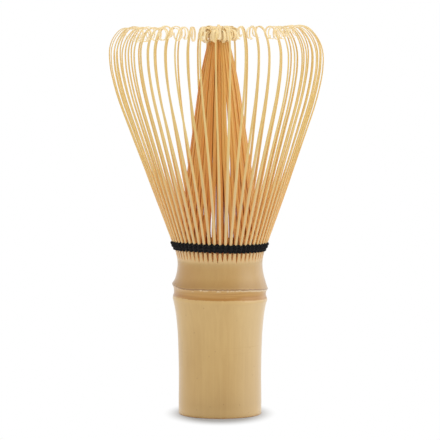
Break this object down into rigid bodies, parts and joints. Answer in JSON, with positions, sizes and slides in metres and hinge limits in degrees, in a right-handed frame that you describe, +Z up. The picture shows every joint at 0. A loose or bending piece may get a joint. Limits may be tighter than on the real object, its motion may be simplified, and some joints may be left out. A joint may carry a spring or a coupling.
{
  "type": "bamboo tea whisk",
  "caption": "Bamboo tea whisk: a short culm handle with a node, a bell of springy outer tines with curled tips, a cone of inner tines and a black binding thread.",
  "frame": {"origin": "centre of the handle's bottom face, which stands on the table", "axes": "+Z up along the whisk's axis towards the tips, -Y to the front, through the middle of an outer tine"},
  "size_m": [0.0636, 0.0636, 0.115],
  "materials": {
    "bamboo_culm": "smooth natural bamboo skin, satin",
    "bamboo_outer_tines": "shaved bamboo, satin skin outside and matte cut faces",
    "bamboo_inner_tines": "shaved bamboo, matte",
    "cotton_thread": "matte twisted cotton thread"
  },
  "bodies": {
    "culm": {"handle": "bamboo_culm", "binding_thread": "cotton_thread", "inner_tines_01": "bamboo_inner_tines", "inner_tines_02": "bamboo_inner_tines", "inner_tines_03": "bamboo_inner_tines", "inner_tines_04": "bamboo_inner_tines", "inner_tines_05": "bamboo_inner_tines", "inner_tines_06": "bamboo_inner_tines", "inner_tines_07": "bamboo_inner_tines", "inner_tines_08": "bamboo_inner_tines", "inner_tines_09": "bamboo_inner_tines", "inner_tines_10": "bamboo_inner_tines", "inner_tines_11": "bamboo_inner_tines", "inner_tines_12": "bamboo_inner_tines", "inner_tines_13": "bamboo_inner_tines", "inner_tines_14": "bamboo_inner_tines"},
    "outer_group_01": {"outer_tines_01": "bamboo_outer_tines"},
    "outer_group_02": {"outer_tines_02": "bamboo_outer_tines"},
    "outer_group_03": {"outer_tines_03": "bamboo_outer_tines"},
    "outer_group_04": {"outer_tines_04": "bamboo_outer_tines"},
    "outer_group_05": {"outer_tines_05": "bamboo_outer_tines"},
    "outer_group_06": {"outer_tines_06": "bamboo_outer_tines"},
    "outer_group_07": {"outer_tines_07": "bamboo_outer_tines"},
    "outer_group_08": {"outer_tines_08": "bamboo_outer_tines"},
    "outer_group_09": {"outer_tines_09": "bamboo_outer_tines"},
    "outer_group_10": {"outer_tines_10": "bamboo_outer_tines"},
    "outer_group_11": {"outer_tines_11": "bamboo_outer_tines"},
    "outer_group_12": {"outer_tines_12": "bamboo_outer_tines"},
    "outer_group_13": {"outer_tines_13": "bamboo_outer_tines"},
    "outer_group_14": {"outer_tines_14": "bamboo_outer_tines"}
  },
  "joints": [
    {"name": "outer_flex_01", "type": "hinge", "parent": "culm", "child": "outer_group_01", "pos_m": [0.00077, -0.01378, 0.0512], "axis": [0.9984, 0.0561, 0], "range_deg": [-4, 8], "stiffness_Nm_per_rad": 0.016},
    {"name": "outer_flex_02", "type": "hinge", "parent": "culm", "child": "outer_group_02", "pos_m": [0.00668, -0.01208, 0.0512], "axis": [0.8752, 0.4837, 0], "range_deg": [-4, 8], "stiffness_Nm_per_rad": 0.016},
    {"name": "outer_flex_03", "type": "hinge", "parent": "culm", "child": "outer_group_03", "pos_m": [0.01125, -0.00799, 0.0512], "axis": [0.5787, 0.8156, 0], "range_deg": [-4, 8], "stiffness_Nm_per_rad": 0.016},
    {"name": "outer_flex_04", "type": "hinge", "parent": "culm", "child": "outer_group_04", "pos_m": [0.01361, -0.00231, 0.0512], "axis": [0.1675, 0.9859, 0], "range_deg": [-4, 8], "stiffness_Nm_per_rad": 0.016},
    {"name": "outer_flex_05", "type": "hinge", "parent": "culm", "child": "outer_group_05", "pos_m": [0.01326, 0.00382, 0.0512], "axis": [-0.2768, 0.9609, 0], "range_deg": [-4, 8], "stiffness_Nm_per_rad": 0.016},
    {"name": "outer_flex_06", "type": "hinge", "parent": "culm", "child": "outer_group_06", "pos_m": [0.01029, 0.0092, 0.0512], "axis": [-0.6663, 0.7456, 0], "range_deg": [-4, 8], "stiffness_Nm_per_rad": 0.016},
    {"name": "outer_flex_07", "type": "hinge", "parent": "culm", "child": "outer_group_07", "pos_m": [0.00528, 0.01275, 0.0512], "axis": [-0.9239, 0.3827, 0], "range_deg": [-4, 8], "stiffness_Nm_per_rad": 0.016},
    {"name": "outer_flex_08", "type": "hinge", "parent": "culm", "child": "outer_group_08", "pos_m": [-0.00077, 0.01378, 0.0512], "axis": [-0.9984, -0.0561, 0], "range_deg": [-4, 8], "stiffness_Nm_per_rad": 0.016},
    {"name": "outer_flex_09", "type": "hinge", "parent": "culm", "child": "outer_group_09", "pos_m": [-0.00668, 0.01208, 0.0512], "axis": [-0.8752, -0.4837, 0], "range_deg": [-4, 8], "stiffness_Nm_per_rad": 0.016},
    {"name": "outer_flex_10", "type": "hinge", "parent": "culm", "child": "outer_group_10", "pos_m": [-0.01125, 0.00799, 0.0512], "axis": [-0.5787, -0.8156, 0], "range_deg": [-4, 8], "stiffness_Nm_per_rad": 0.016},
    {"name": "outer_flex_11", "type": "hinge", "parent": "culm", "child": "outer_group_11", "pos_m": [-0.01361, 0.00231, 0.0512], "axis": [-0.1675, -0.9859, 0], "range_deg": [-4, 8], "stiffness_Nm_per_rad": 0.016},
    {"name": "outer_flex_12", "type": "hinge", "parent": "culm", "child": "outer_group_12", "pos_m": [-0.01326, -0.00382, 0.0512], "axis": [0.2768, -0.9609, 0], "range_deg": [-4, 8], "stiffness_Nm_per_rad": 0.016},
    {"name": "outer_flex_13", "type": "hinge", "parent": "culm", "child": "outer_group_13", "pos_m": [-0.01029, -0.0092, 0.0512], "axis": [0.6663, -0.7456, 0], "range_deg": [-4, 8], "stiffness_Nm_per_rad": 0.016},
    {"name": "outer_flex_14", "type": "hinge", "parent": "culm", "child": "outer_group_14", "pos_m": [-0.00528, -0.01275, 0.0512], "axis": [0.9239, -0.3827, 0], "range_deg": [-4, 8], "stiffness_Nm_per_rad": 0.016}
  ]
}
